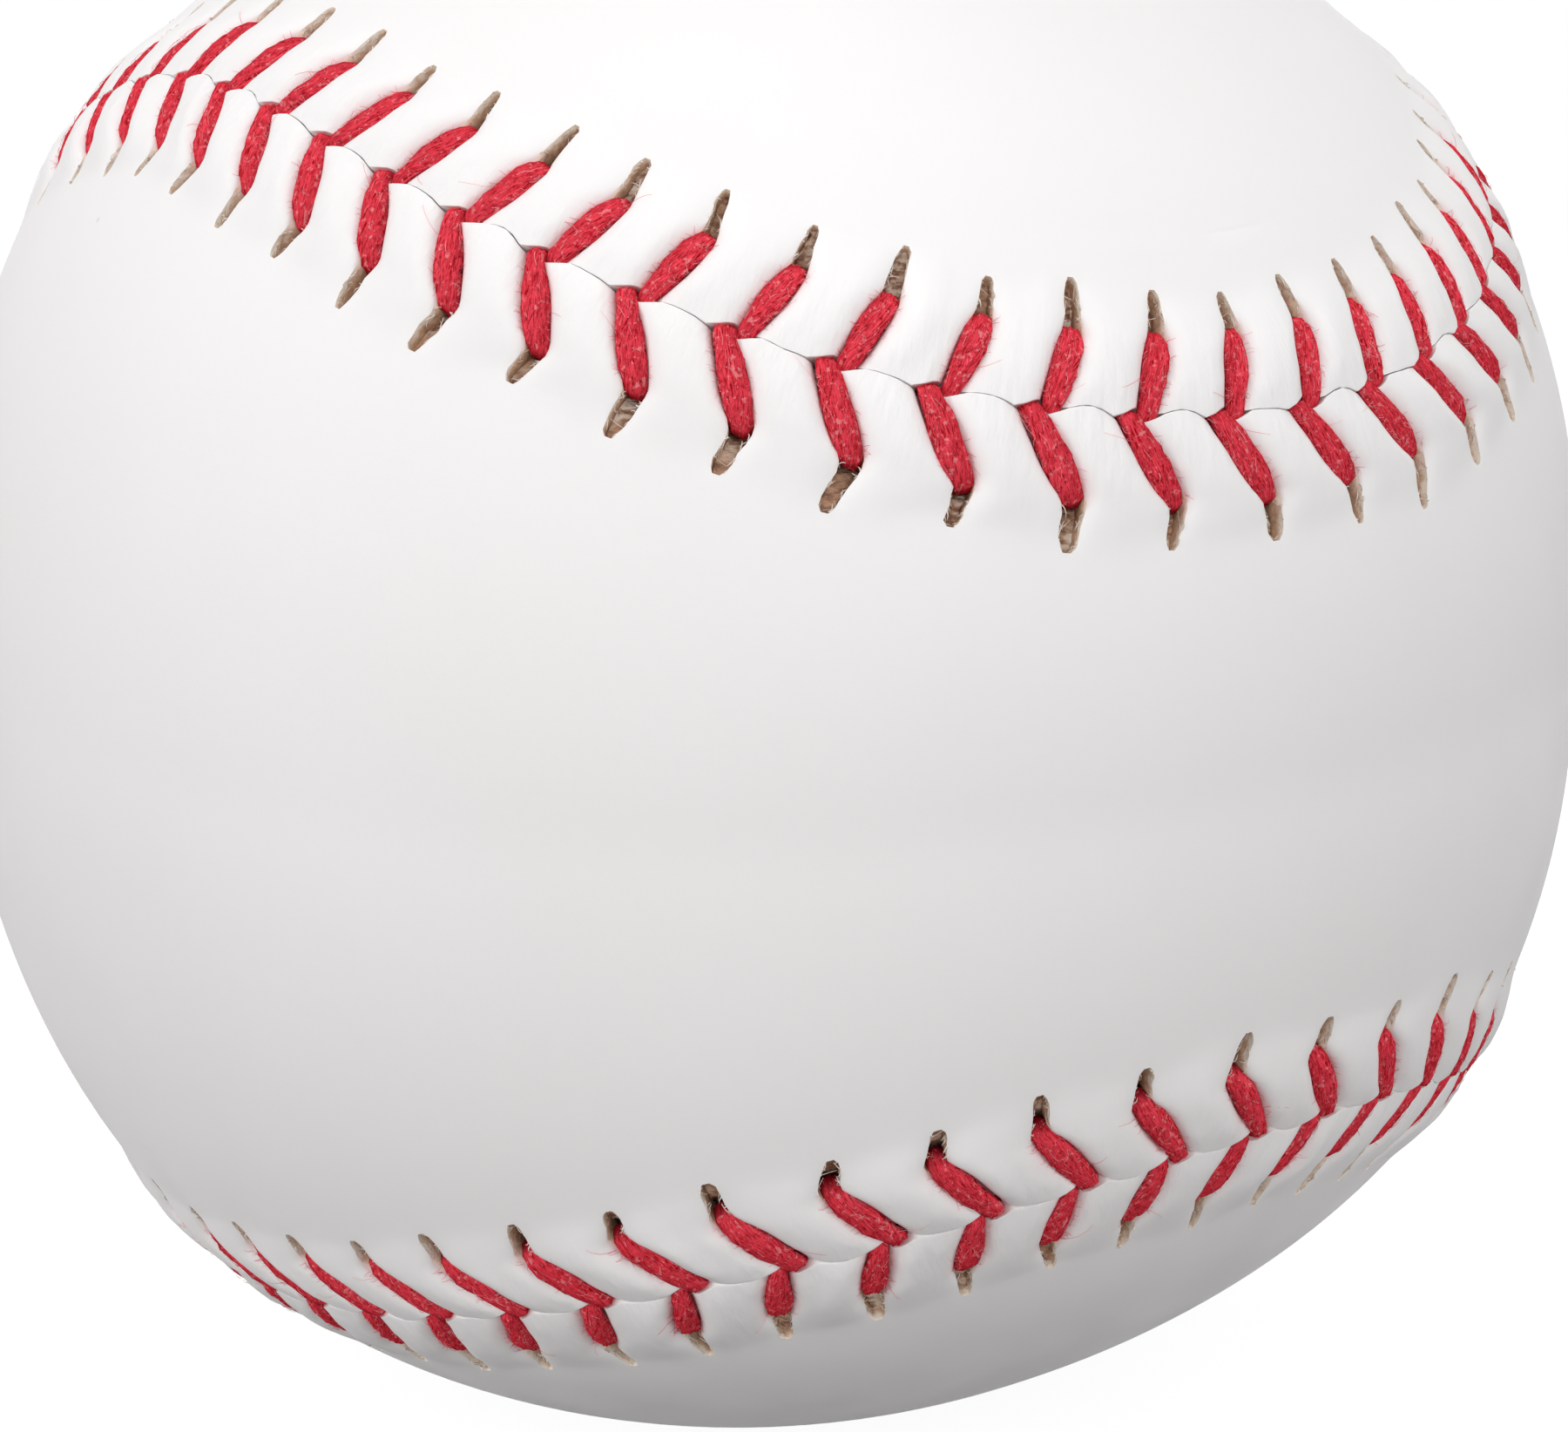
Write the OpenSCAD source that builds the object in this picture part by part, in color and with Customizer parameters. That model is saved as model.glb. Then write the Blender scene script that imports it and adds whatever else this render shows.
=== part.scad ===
// A hand-sewn baseball: a cork and rubber core, four yarn windings, a two-piece
// leather cover and the red stitching that closes it. All lengths are in millimetres.
// The centre of the ball is the origin.

/* [Core] */
// Diameter of the composition cork core
core_d = 20.6; // [18:0.1:23]
// Wall of the two black rubber half shells around the core
half_shell_wall = 4; // [3:0.1:5]
// Thickness of each red rubber washer between the half shells
washer_t = 0.8; // [0.4:0.1:1.5]
// Wall of the red rubber layer moulded over the half shells
cushion_wall = 2.4; // [1.5:0.1:3.5]

/* [Windings] */
// Build-up of the first winding, in four-ply gray wool
gray_four_ply_wall = 14.3; // [12:0.1:16]
// Build-up of the second winding, in three-ply white wool
white_three_ply_wall = 1.7; // [1:0.1:3]
// Build-up of the third winding, in three-ply gray wool
gray_three_ply_wall = 2.2; // [1:0.1:3]
// Build-up of the finishing winding, in fine white yarn
finishing_wall = 0.4; // [0.2:0.05:1]
// Thickness of the rubber adhesive that holds the cover
adhesive_wall = 0.1; // [0.05:0.01:0.3]

/* [Cover] */
// Thickness of the leather
leather_t = 1.25; // [1.1:0.05:1.6]
// How far each margin stands up over the thread that passes under it
margin_rise = 0.5; // [0.4:0.02:0.8]
// Width of the raised margin on each side of the seam
margin_w = 3.7; // [3.5:0.05:4.2]
// Width of the seam between two stitches
seam_gap = 0.2; // [0.1:0.02:0.4]
// Width of the seam where a stitch goes down into it
stitch_gap = 0.9; // [0.7:0.02:1.1]

/* [Seam figure] */
// How strongly the two lobes of each panel swell, as a share of the figure's size
lobe_share = 0.46; // [0.42:0.01:0.5]
// How far the seam reaches towards the necks, as a share of the figure's size
reach_share = 1.31; // [1.2:0.01:1.45]

/* [Stitching] */
// Number of stitches on each panel, an even number
stitches = 108; // [88:2:112]
// Place of the first stitch, as a share of one stitch along the seam
first_stitch_share = 0.9; // [0:0.05:1]
// Distance from the seam to the thread where it comes up through the leather
hole_off = 3.15; // [2.9:0.05:3.2]
// Distance from the seam to the far end of each slit
slit_reach = 4.95; // [4.3:0.05:5.4]
// Width of each slit
slit_w = 0.6; // [0.5:0.02:0.8]
// How far the slits sit behind the place where their thread enters the seam
stitch_lead = 1.3; // [0.6:0.05:1.8]
// Distance along the seam between the two threads of one stitch
twin_step = 0.76; // [0.6:0.02:0.9]
// Width of the thread where it lies on the leather
thread_w = 1; // [0.7:0.02:1.2]
// Thickness of the thread where it lies on the leather
thread_t = 0.75; // [0.5:0.01:0.85]
// Width of the thread where it runs under a margin
hidden_thread_w = 0.8; // [0.6:0.02:1]
// Clearance between the thread and what it lies on or passes through
thread_clear = 0.02; // [0.01:0.01:0.05]

/* [How the ball lies] */
// Turn about X, from the seam figure's own axes
lie_x = -85; // [-180:1:180]
// Turn about Y
lie_y = -49; // [-180:1:180]
// Turn about Z
lie_z = 31; // [-180:1:180]

/* [Hidden] */

// Radii of the layers, from the centre out
core_r = core_d / 2;
half_shell_r = core_r + half_shell_wall;
cushion_r = half_shell_r + cushion_wall;
gray_four_ply_r = cushion_r + gray_four_ply_wall;
white_three_ply_r = gray_four_ply_r + white_three_ply_wall;
gray_three_ply_r = white_three_ply_r + gray_three_ply_wall;
finishing_r = gray_three_ply_r + finishing_wall;
adhesive_r = finishing_r + adhesive_wall;
cover_r = adhesive_r + leather_t;
margin_r = cover_r + margin_rise;
tunnel_r = adhesive_r + margin_rise;

// Smoothness of the round layers
round_fn = 96;

// The panel cutters are cones from the centre. Their flat caps lie outside the ball.
cap_share = 3;
cap_r = margin_r * cap_share;

// Points of an edge line over one stitch: place along the seam as a share of the
// stitch, and 1 where the line steps back for the threads. The panel's edge does, and
// the line where its raised margin ends doesn't.
edge_shares = [[-0.24, 1], [0.24, 1], [0.3, 0], [0.7, 0]];
margin_line_shares = [[0, 0]];

// The closed seam line on a ball of radius 1
function unit(v) = v / norm(v);
function figure_point(t) =
    unit([
        cos(t) + lobe_share * cos(3 * t),
        sin(t) - lobe_share * sin(3 * t),
        reach_share * sin(2 * t)
    ]);

// Length along the line, so that the stitches are evenly spaced
figure_steps = 720;
step_turn = 360 / figure_steps;
function step_length(i) = norm(figure_point((i + 1) * step_turn) - figure_point(i * step_turn));
turn_at_length = [
    for (i = 0, run = 0; i <= figure_steps; run = run + step_length(i), i = i + 1)
        [run, i * step_turn]
];
figure_length = turn_at_length[figure_steps][0];
stitch_pitch = figure_length * cover_r / stitches;

// Place, direction along and direction across the seam, counted in stitches
nudge_share = 0.05;
function wrapped(u) = u / stitches - floor(u / stitches);
function seam_dir(u) = figure_point(lookup(wrapped(u) * figure_length, turn_at_length));
function seam_along(u) = unit(seam_dir(u + nudge_share) - seam_dir(u - nudge_share));
function seam_across(u) = unit(cross(seam_dir(u), seam_along(u)));
function dir_beside(u, off) =
    let (turn = off / cover_r * 180 / PI)
    seam_dir(u) * cos(turn) + seam_across(u) * sin(turn);

// Lengths along the seam, counted in stitches
lead_u = stitch_lead / stitch_pitch;
twin_u = twin_step / stitch_pitch;

// Slits
slit_start = hole_off - thread_t / 2 - thread_clear;
slit_l = slit_reach - slit_start;
slit_mid = (slit_reach + slit_start) / 2;

// Under a margin the thread runs straight from bend to bend, so it sags below the round
// of the ball by this much
hidden_run = norm([hole_off, stitch_pitch - stitch_lead]);
hidden_sag = pow(hidden_run, 2) / (8 * adhesive_r);

// Thread sizes that follow from what it passes through
hidden_t = margin_rise - 2 * thread_clear - hidden_sag;
hidden_r = adhesive_r + thread_clear + hidden_sag + hidden_t / 2;
lying_r = margin_r + thread_clear + thread_t / 2;
in_slit_w = slit_w - 2 * thread_clear;
in_seam_w = twin_step - 2 * thread_clear;
in_seam_t = stitch_gap - 2 * thread_clear;

// Places of the thread's bends between hole and seam, as shares of the hole's distance
near_hole_share = 0.78;
near_seam_share = 0.12;
past_seam_share = 0.07;
// Places of the thread's two hidden ends, as shares of their underpass
first_end_share = 0.65;
last_end_share = 0.35;
// Depth at which the thread turns down into the seam, as a share of its thickness
turn_down_share = 0.2;
thread_sides = 6;

// Puts the seam figure as it lies, with +Z up
module lying() {
    rotate([lie_x, lie_y, lie_z])
        children();
}

module layer(outer_r, inner_r) {
    difference() {
        sphere(r = outer_r, $fn = round_fn);
        sphere(r = inner_r, $fn = round_fn);
    }
}

// The part of the half shells' layer between two heights
module layer_slice(low, high) {
    intersection() {
        layer(half_shell_r, core_r);
        translate([-half_shell_r, -half_shell_r, low])
            cube([2 * half_shell_r, 2 * half_shell_r, high - low]);
    }
}

module cork_core() {
    color("burlywood")
        lying()
            sphere(r = core_r, $fn = round_fn);
}

module rubber_half_shell_upper() {
    color("dimgray")
        lying()
            layer_slice(washer_t, half_shell_r);
}

module rubber_half_shell_lower() {
    color("dimgray")
        lying()
            layer_slice(-half_shell_r, -washer_t);
}

module sealing_washer_upper() {
    color("firebrick")
        lying()
            layer_slice(0, washer_t);
}

module sealing_washer_lower() {
    color("indianred")
        lying()
            layer_slice(-washer_t, 0);
}

module rubber_cushion_layer() {
    color("brown")
        lying()
            layer(cushion_r, half_shell_r);
}

module winding_gray_four_ply() {
    color("slategray")
        lying()
            layer(gray_four_ply_r, cushion_r);
}

module winding_white_three_ply() {
    color("ivory")
        lying()
            layer(white_three_ply_r, gray_four_ply_r);
}

module winding_gray_three_ply() {
    color("darkgray")
        lying()
            layer(gray_three_ply_r, white_three_ply_r);
}

module winding_finishing_yarn() {
    color("linen")
        lying()
            layer(finishing_r, gray_three_ply_r);
}

module adhesive_coat() {
    color("tan")
        lying()
            layer(adhesive_r, finishing_r);
}

// One closed edge line of a panel, as directions from the centre. It runs beside the
// seam by off, and by open_off where the threads go down.
function edge_line(side, shares, off, open_off) = [
    for (k = [0 : stitches - 1], place = shares)
        dir_beside(first_stitch_share + k + place[0], side * (place[1] == 1 ? open_off : off))
];

// Everything on one side of an edge line, out to beyond the ball
module panel_cone(side, shares, off, open_off) {
    line = edge_line(side, shares, off, open_off);
    count = len(line);
    // The line is mirrored about one end of a lobe, so its two halves face each other
    lobe_end_u = (side > 0 ? 3 : 1) * stitches / 8;
    turn_back = round((lobe_end_u - first_stitch_share) * len(shares) - 0.5);
    left = [for (i = [0 : count / 2 - 1]) 1 + (turn_back + 1 + i) % count];
    right = [for (i = [0 : count / 2 - 1]) 1 + (turn_back - i + count) % count];
    walls = [for (i = [0 : count - 1]) [0, 1 + i, 1 + (i + 1) % count]];
    cap = [
        for (i = [0 : count / 2 - 2], half = [0, 1])
            half == 0 ? [left[i], right[i], right[i + 1]] : [left[i], right[i + 1], left[i + 1]]
    ];
    faces = concat(walls, cap);
    polyhedron(
        points = concat([[0, 0, 0]], line * cap_r),
        faces = side > 0 ? faces : [for (f = faces) [f[2], f[1], f[0]]],
        convexity = 6
    );
}

// A slit through the leather, long side away from the seam
module slit(side, u) {
    outward = unit(dir_beside(u, side * slit_mid));
    along = seam_along(u);
    away = cross(outward, along);
    multmatrix([
        [along[0], away[0], outward[0], 0],
        [along[1], away[1], outward[1], 0],
        [along[2], away[2], outward[2], 0],
        [0, 0, 0, 1]
    ])
        translate([0, 0, adhesive_r - leather_t])
            linear_extrude(height = margin_r - adhesive_r + 2 * leather_t) {
                square([slit_w, slit_l - slit_w], center = true);
                for (end = [-1, 1])
                    translate([0, end * (slit_l - slit_w) / 2])
                        circle(d = slit_w, $fn = 24);
            }
}

// One figure-of-eight panel of leather. Its margin is raised in one step, inside and
// out, over the threads that run under it.
module cover_panel(side) {
    difference() {
        intersection() {
            union() {
                sphere(r = cover_r, $fn = round_fn);
                difference() {
                    sphere(r = margin_r, $fn = round_fn);
                    panel_cone(side, margin_line_shares, margin_w, margin_w);
                }
            }
            panel_cone(side, edge_shares, seam_gap / 2, stitch_gap / 2);
        }
        sphere(r = adhesive_r, $fn = round_fn);
        difference() {
            sphere(r = tunnel_r, $fn = round_fn);
            panel_cone(side, margin_line_shares, margin_w, margin_w);
        }
        for (k = [0 : stitches - 1])
            slit(side, first_stitch_share + k + lead_u);
    }
}

module cover_panel_a() {
    color("whitesmoke")
        lying()
            cover_panel(1);
}

module cover_panel_b() {
    color("white")
        lying()
            cover_panel(-1);
}

// The bends of one stitch, from its hole over the margin and down into the seam.
// Each bend is its place along the seam, distance from the seam, radius, half width
// and half thickness.
function stitch_bends(k, start) =
    let (
        side = (k + start) % 2 == 0 ? -1 : 1,
        here = first_stitch_share - k,
        hole_u = here + lead_u,
        seam_u = here + side * twin_u / 2,
        slant = hole_u - seam_u
    )
    [
        [hole_u, side * hole_off, hidden_r, in_slit_w / 2, hidden_t / 2],
        [hole_u, side * hole_off, margin_r + thread_t / 4, in_slit_w / 2, thread_t / 2],
        [
            seam_u + slant * near_hole_share,
            side * hole_off * near_hole_share,
            lying_r,
            thread_w / 2,
            thread_t / 2
        ],
        [
            seam_u + slant * near_seam_share,
            side * hole_off * near_seam_share,
            lying_r,
            in_seam_w / 2,
            thread_t / 2
        ],
        [seam_u, 0, margin_r - thread_t * turn_down_share, in_seam_w / 2, in_seam_t / 2],
        [
            seam_u - slant * past_seam_share,
            -side * hole_off * past_seam_share,
            hidden_r,
            hidden_thread_w / 2,
            hidden_t / 2
        ]
    ];

function between(a, b, share) = a * (1 - share) + b * share;

// The hidden stretch after the last stitch holds both ends of the thread, with a gap
// between them
function thread_bends(start) =
    let (
        before = stitch_bends(-1, start),
        after = stitch_bends(stitches, start),
        stitched = [for (k = [0 : stitches - 1], bend = stitch_bends(k, start)) bend],
        last = len(stitched) - 1
    )
    concat(
        [between(before[len(before) - 1], stitched[0], first_end_share)],
        stitched,
        [between(stitched[last], after[0], last_end_share)]
    );

module stitching_thread(start) {
    bends = thread_bends(start);
    last = len(bends) - 1;
    centres = [for (b = bends) b[2] * dir_beside(b[0], b[1])];
    rings = [
        for (i = [0 : last])
            let (
                path = unit(centres[min(i + 1, last)] - centres[max(i - 1, 0)]),
                along = seam_along(bends[i][0]),
                wide = unit(along - path * (along * path)),
                thick = cross(path, wide)
            )
            for (q = [0 : thread_sides - 1])
                centres[i]
                    + wide * bends[i][3] * cos(360 * q / thread_sides)
                    + thick * bends[i][4] * sin(360 * q / thread_sides)
    ];
    skin = [
        for (i = [0 : last - 1], q = [0 : thread_sides - 1], half = [0, 1])
            let (
                a = i * thread_sides + q,
                b = i * thread_sides + (q + 1) % thread_sides
            )
            half == 0
                ? [a, a + thread_sides, b + thread_sides]
                : [a, b + thread_sides, b]
    ];
    first_cap = [for (q = [0 : thread_sides - 1]) q];
    last_cap = [for (q = [thread_sides - 1 : -1 : 0]) last * thread_sides + q];
    polyhedron(points = rings, faces = concat([first_cap], skin, [last_cap]), convexity = 10);
}

module stitching_thread_a() {
    color("crimson")
        lying()
            stitching_thread(0);
}

module stitching_thread_b() {
    color("firebrick")
        lying()
            stitching_thread(1);
}

cork_core();
rubber_half_shell_upper();
rubber_half_shell_lower();
sealing_washer_upper();
sealing_washer_lower();
rubber_cushion_layer();
winding_gray_four_ply();
winding_white_three_ply();
winding_gray_three_ply();
winding_finishing_yarn();
adhesive_coat();
cover_panel_a();
cover_panel_b();
stitching_thread_a();
stitching_thread_b();
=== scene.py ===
# %% [markdown]
# # A hand-sewn leather baseball
# A baseball is a cork and rubber pill, wound with several hundred metres of yarn, and
# closed with two figure-of-eight panels of white leather. 108 stitches of waxed red
# thread on each panel hold them together. Everything that makes the ball recognisable
# lies within seven millimetres of the seam, so that is where the work goes.
#
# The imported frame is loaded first. Its solids have the right size and stay where they
# are, and every piece below is made in the same place, in metres.

# %% Load the frame
import math
import bpy
import numpy as np
from mathutils import Euler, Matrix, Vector
from mathutils.kdtree import KDTree


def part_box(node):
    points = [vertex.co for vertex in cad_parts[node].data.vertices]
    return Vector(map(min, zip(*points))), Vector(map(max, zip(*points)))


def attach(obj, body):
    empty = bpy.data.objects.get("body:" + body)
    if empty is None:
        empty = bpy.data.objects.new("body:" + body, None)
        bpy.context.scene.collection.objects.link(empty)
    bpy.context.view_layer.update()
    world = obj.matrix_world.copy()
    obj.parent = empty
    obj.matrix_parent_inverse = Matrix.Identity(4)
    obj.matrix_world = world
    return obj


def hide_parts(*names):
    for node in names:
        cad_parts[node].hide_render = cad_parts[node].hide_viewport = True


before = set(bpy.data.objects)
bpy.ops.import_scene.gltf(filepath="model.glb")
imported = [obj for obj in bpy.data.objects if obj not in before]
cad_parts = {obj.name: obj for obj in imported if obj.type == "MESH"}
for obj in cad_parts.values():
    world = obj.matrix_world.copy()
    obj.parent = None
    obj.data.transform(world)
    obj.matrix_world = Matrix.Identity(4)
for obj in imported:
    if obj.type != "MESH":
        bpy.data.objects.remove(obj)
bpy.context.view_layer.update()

MM = 0.001
BODY = "root"
print("nodes", sorted(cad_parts))

# %% [markdown]
# ## Camera
# The ball fills the picture and runs over its edges, so a small error in the camera
# shows at once. Its place, turn and lens were found from where the stitches lie. The
# camera is 163 mm from the ball's centre and looks down on it by ten degrees.

# %% Camera
CAMERA_PLACE = (1.40, -161.1, 23.8)
CAMERA_TURN = (79.98, -0.16, 0.154)
CAMERA_LENS = 80.44
SENSOR_WIDTH = 36.0

bpy.ops.object.select_all(action="DESELECT")
bpy.ops.object.camera_add(
    location=[v * MM for v in CAMERA_PLACE],
    rotation=[math.radians(a) for a in CAMERA_TURN],
)
camera = bpy.context.object
camera.name = "camera"
camera.data.lens = CAMERA_LENS
camera.data.sensor_width = SENSOR_WIDTH
camera.data.clip_start = MM
bpy.context.scene.camera = camera
bpy.context.scene.view_settings.view_transform = "Standard"

# %% [markdown]
# ## The seam line
# The seam is one closed curve, the same as the line on a tennis ball. A short formula
# gives it on a ball of radius 1. It is then turned to lie as in the photograph, and a
# table of its length lets every stitch be placed by counting stitches along it.

# %% Seam line
LOBE_SHARE = 0.46
REACH_SHARE = 1.31
LIE = (-85, -49, 31)
STITCHES = 108
FIRST_STITCH_SHARE = 0.9
LINE_POINTS = 7200
COVER_R = 36.65


def unit(v):
    return v / np.linalg.norm(v, axis=-1, keepdims=True)


def line_axes(points):
    """Directions along and across a closed line on the ball."""
    along = unit(np.roll(points, -1, axis=0) - np.roll(points, 1, axis=0))
    return along, unit(np.cross(points, along))


turn = np.linspace(0, 2 * math.pi, LINE_POINTS, endpoint=False)
figure = unit(np.stack([
    np.cos(turn) + LOBE_SHARE * np.cos(3 * turn),
    np.sin(turn) - LOBE_SHARE * np.sin(3 * turn),
    REACH_SHARE * np.sin(2 * turn),
], axis=1))
figure = figure @ np.array(Euler([math.radians(a) for a in LIE], "XYZ").to_matrix()).T
steps = np.linalg.norm(np.roll(figure, -1, axis=0) - figure, axis=1)
line_run = np.concatenate([[0], np.cumsum(steps)])
PITCH = line_run[-1] * COVER_R / STITCHES
print("stitch pitch, mm", round(PITCH, 3))

# %% [markdown]
# A real seam isn't perfect. The two panels are drawn together by hand, so the line
# wanders a little, and at the left of the photograph it lies up to three millimetres
# inside the formula's line. Each place is counted in stitches, and the pulls beside it
# are in millimetres.

# %% Pull the seam line
PULL_PLACES = (0, 34, 38, 45, 47, 49, 51, 53, 56, 78, 79, 80, 81, 83, 85, 108)
PULL_ACROSS = (0, 0, 0, 0, -0.5, -1.1, -1.9, -2.7, -3, -2.9, -2, -0.9, -0.1, 0.2, 0, 0)
PULL_ALONG = (0, 0, -0.5, -0.5, 0, 0.2, 0.2, 0, 0, 0, 0.6, 0.4, 0.2, 0, 0, 0)
PULL_SMOOTH = 201


def pulled(amounts):
    """Amounts at the places, in mm, as a smooth value at every point of the line."""
    here = line_run[:-1] / line_run[-1] * STITCHES
    values = np.interp(here, PULL_PLACES, amounts)
    bell = np.hanning(PULL_SMOOTH)
    joined = np.concatenate([values[-PULL_SMOOTH:], values, values[:PULL_SMOOTH]])
    smooth = np.convolve(joined, bell / bell.sum(), "same")
    return smooth[PULL_SMOOTH:-PULL_SMOOTH, None]


figure_along, figure_across = line_axes(figure)
pull = figure_across * pulled(PULL_ACROSS) + figure_along * pulled(PULL_ALONG)
figure = unit(figure + pull / COVER_R)
line_table = np.hstack([figure, *line_axes(figure)])
line_table = np.vstack([line_table, line_table[:1]])

# %% [markdown]
# Everything beside the seam is placed by two numbers: how many stitches along the seam
# it lies, and how many millimetres beside it.

# %% Places beside the seam
def seam_frame(place):
    """Direction from the centre, along the seam and across it, at a place in stitches."""
    run = np.mod(np.asarray(place, float) / STITCHES, 1) * line_run[-1]
    table = np.stack([np.interp(run, line_run, column) for column in line_table.T], axis=-1)
    return unit(table[..., 0:3]), unit(table[..., 3:6]), unit(table[..., 6:9])


def beside_seam(place, off):
    """Direction from the centre at a place in stitches and off mm beside the seam."""
    out, _, across = seam_frame(place)
    angle = (off / COVER_R)[..., None]
    return unit(out * np.cos(angle) + across * np.sin(angle))


seam_tree = KDTree(LINE_POINTS)
for index, point in enumerate(figure):
    seam_tree.insert(point, index)
seam_tree.balance()


def seam_distance(directions):
    """Distance in mm from the seam, for directions from the centre."""
    gaps = [seam_tree.find(d)[2] for d in directions]
    return 2 * np.arcsin(np.clip(np.array(gaps) / 2, 0, 1)) * COVER_R


# %% [markdown]
# ## How high the leather stands
# The two margins are pulled together over the thread that runs under them, so the
# leather rises gently towards the seam. On top of that rise come three small forms:
# the pillows that swell between two stitches, the grooves that the thread presses into
# the leather, and the soft folds where the leather is drawn together. Each is a short
# function of the distance from the seam, so it is easy to change. A pair of numbers
# is where a form begins and where it is complete, or the ends of its chance.

# %% Leather forms
FIELD_R = 36.60
SEAM_SWELL = 1.20
SWELL_REACH = 16.3
LEATHER_T = 1.25

PILLOW_H = 0.42
PILLOW_ROUND = 4
PILLOW_TOP_OFF = 1.7
PILLOW_REACH = 2.4
PILLOW_END = (3.6, 5.6)
PILLOW_CHANCE = 0.25

FOLD_H = 0.05
FOLD_WAVES = (2.6, 1.7, 1.9)
FOLD_OFF = 1.6
FOLD_REACH = 1.5
FOLD_CLEAR = 0.6

# The edge at the seam: rounded, with a narrow gap that is wider where a leg goes down,
# and a little higher where it caps the other panel's leg
SEAM_GAP = 0.04
EDGE_ROUND = 0.012
EDGE_REACH = 0.7
LEG_ENTRY_HALF = 0.42
GIVE_WAY = 0.08
CAP_H = 0.06
CAP_REACH = 0.8
# How strongly the cut edge over the other leg is painted dark red: partly dye, partly painted shade
CAP_DYE_AND_SHADE = 0.9

# The edge of each margin between two stitches bulges towards the other one by chance.
# Where it caps the other panel's leg it also runs askew, and then the two panels' edges
# have their own distances from the seam line.
BULGE_START = 0.75
BULGE_LONG = 2.0
BULGE = 0.16
WANDER_AHEAD = {
    1: (-1.05, -0.9, -0.6, -0.3, -0.1, 0.3, 0.75, 1.3, 2.0),
    -1: (-1.05, -0.9, -0.3, 0, 0.15, 0.5, 0.75, 1.3, 2.0),
}
WANDER = {
    1: (-0.14, -0.13, -0.02, 0.16, 0.2, 0.12, 0.06, 0.1, 0.06),
    -1: (-0.14, -0.12, -0.12, -0.15, -0.14, -0.03, 0.06, 0.1, 0.06),
}

# Where the two legs of a stitch enter the seam and where they come out of the leather,
# along the seam from the stitch's place
ENTRY = {1: 0.26, -1: -0.5}
HOLE_AHEAD = 1.25
HOLE_OFF = 3.15
HOLE_START = 2.78
SLIT_END = 4.95
HALF_WIDTH_OFFS = (0, 0.5, 1.6, 2.3, 2.78, 3.0, 3.3, 3.65, 4.05, 4.45, 4.75, 4.95, 5.6)
HALF_WIDTHS = (0.46, 0.52, 0.59, 0.59, 0.54, 0.47, 0.39, 0.34, 0.32, 0.3, 0.24, 0.12, 0.2)
LEG_SIZE = {1: 0.9, -1: 0.98}
LEG_PINCH = 0.24
PINCH_REACH = 1.9

# How far the end of a slit leans along the seam, and what chance adds to a slit
SLIT_LEAN = {1: 0.05, -1: -0.25}
LEAN_CHANCE = 0.22
LENGTH_CHANCE = (-0.35, 0.25)
WIDTH_CHANCE = 0.14
SLIT_WIDTH_FROM = (2.7, 3.4)
RAGGED = 0.04
RAGGED_FROM = (3.0, 3.6)


def leather_level(off):
    return FIELD_R + SEAM_SWELL * np.exp(-(off / SWELL_REACH) ** 2)


def smooth_step(low, high, value):
    share = np.clip((value - low) / (high - low), 0, 1)
    return share * share * (3 - 2 * share)


def leg_ahead(side, off):
    """How far ahead of the stitch's place the leg's centre line lies."""
    share = np.clip(off / HOLE_OFF, 0, 1)
    return ENTRY[side] + (HOLE_AHEAD - ENTRY[side]) * share


def half_width(off):
    """Half the width of the groove, and further out of the slit."""
    return np.interp(off, HALF_WIDTH_OFFS, HALF_WIDTHS)


leg_pinch = {
    side: np.random.default_rng(seed).uniform(0, LEG_PINCH, STITCHES)
    for side, seed in ((1, 3), (-1, 4))
}
bulges = np.random.default_rng(5).uniform(-1, 1, STITCHES)


def leg_size(side, stitch, off):
    """Width of one leg and its groove, as a share: some legs are pinched at the seam."""
    return LEG_SIZE[side] - leg_pinch[side][stitch] * (1 - smooth_step(0, PINCH_REACH, off))


def seam_bulge(stitch, from_stitch):
    """How far one margin pushes the other aside between two stitches."""
    stitches_on = np.floor((from_stitch - BULGE_START) / PITCH)
    spot = from_stitch - BULGE_START - stitches_on * PITCH
    number = (stitch + stitches_on).astype(int) % STITCHES
    return BULGE * bulges[number] * np.sin(math.pi * np.clip(spot / BULGE_LONG, 0, 1)) ** 2


def pillow_level(off, across_leg, half):
    """Height of the pillow between two legs, over the even rise of the leather."""
    rise = np.clip(np.abs(across_leg) - half, 0, None) / (PITCH / 2 - half)
    fade = np.exp(-((off - PILLOW_TOP_OFF) / PILLOW_REACH) ** 2)
    fade = fade * (1 - smooth_step(*PILLOW_END, off))
    return PILLOW_H * (1 - (1 - rise) ** PILLOW_ROUND) * fade


# %% [markdown]
# ## A cover panel
# A panel needs very fine faces beside the stitches and only coarse ones in its middle.
# Sculpting or subdividing a sphere would spend the faces evenly, so the panel is woven
# from three nets instead. The margin's net follows the seam, with columns that run
# along the edges of every groove and slit. The field's net is a row of arcs from one
# side of the figure of eight to the other. A zip of triangles joins two rows that have
# different numbers of points.

# %% Net helpers
def net_faces(rows, columns, first=0, closed=True):
    """Faces of a net of points. A closed one joins its last column to its first."""
    faces = []
    for row in range(rows - 1):
        for column in range(columns if closed else columns - 1):
            a = first + row * columns + column
            b = first + row * columns + (column + 1) % columns
            faces.append((a, b, b + columns, a + columns))
    return faces


def repeat_faces(faces, count, size, first=0):
    """The faces of one item again, for count items that have size points each."""
    return [tuple(first + n * size + i for i in face) for n in range(count) for face in faces]


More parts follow.
